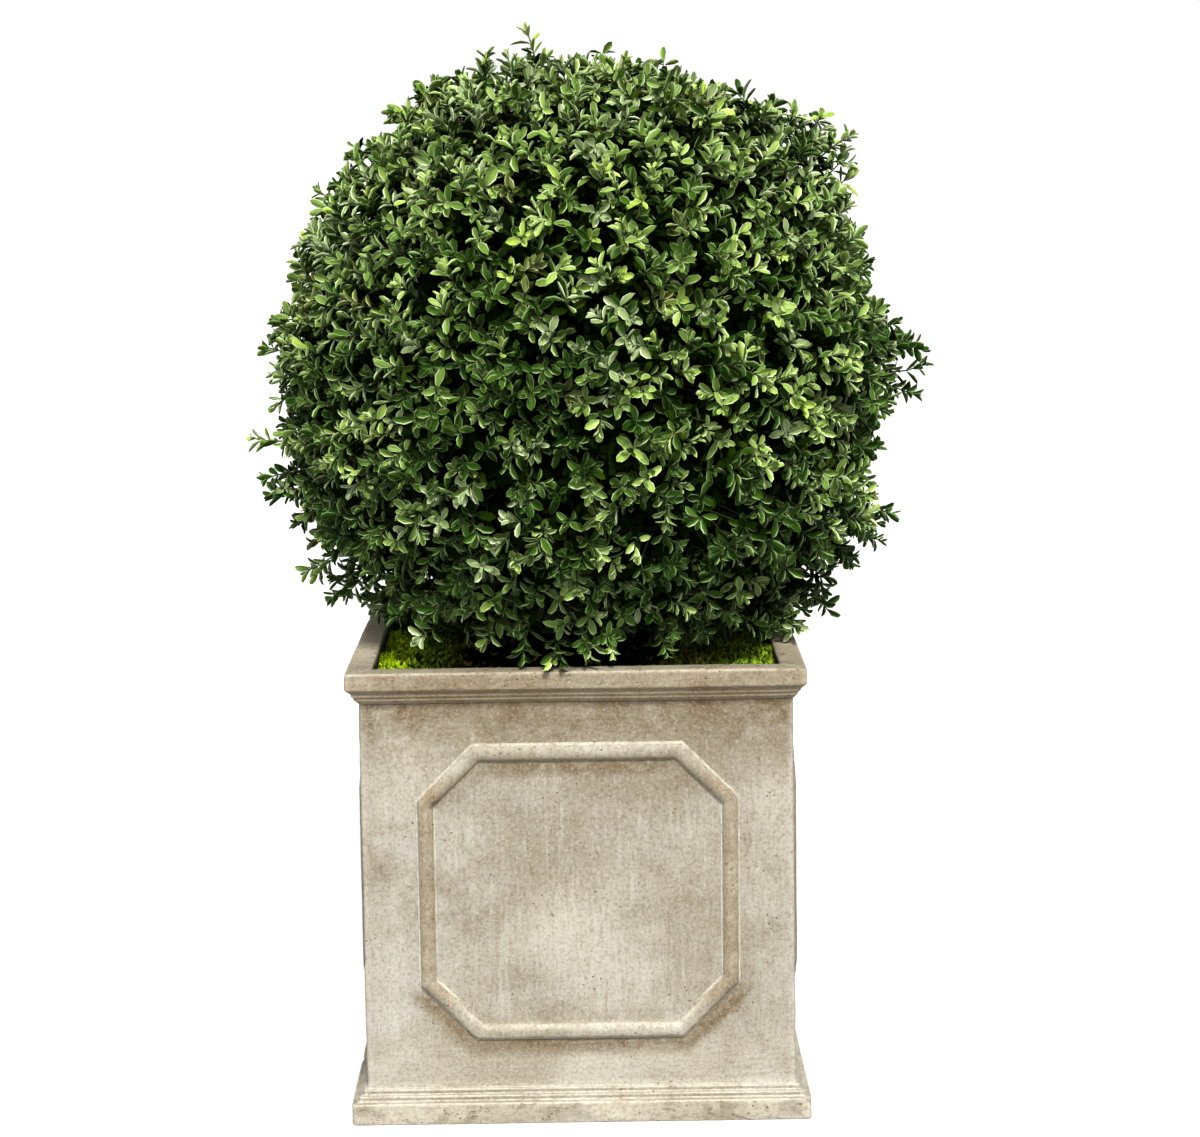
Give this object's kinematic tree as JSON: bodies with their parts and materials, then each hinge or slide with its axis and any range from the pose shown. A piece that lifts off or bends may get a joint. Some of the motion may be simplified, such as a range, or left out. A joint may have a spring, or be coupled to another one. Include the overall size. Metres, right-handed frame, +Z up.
{
  "type": "artificial box topiary ball in a square planter",
  "caption": "Dense clipped ball of small-leaved box on a short stem, standing in moss in a square cast planter with a moulded rim, raised octagonal mouldings and a stepped plinth.",
  "frame": {"origin": "middle of the planter's flat underside", "axes": "+Z up, -Y the front, +X the right-hand side seen from the front"},
  "size_m": [0.7071, 0.6607, 1.1007],
  "materials": {
    "cast_stone": "weathered, matt, with a pale wash and a browner tone in the recesses",
    "potting_filling": "matt, dark",
    "moss": "soft, matt, yellow-green to olive",
    "stem_bark": "rough bark",
    "foliage": "satin leaves in dark, mid and yellow green with pale margins"
  },
  "bodies": {
    "root": {"planter": "cast_stone", "potting_fill": "potting_filling", "moss_bed": "moss", "main_stem": "stem_bark", "box_ball": "foliage"}
  },
  "joints": []
}
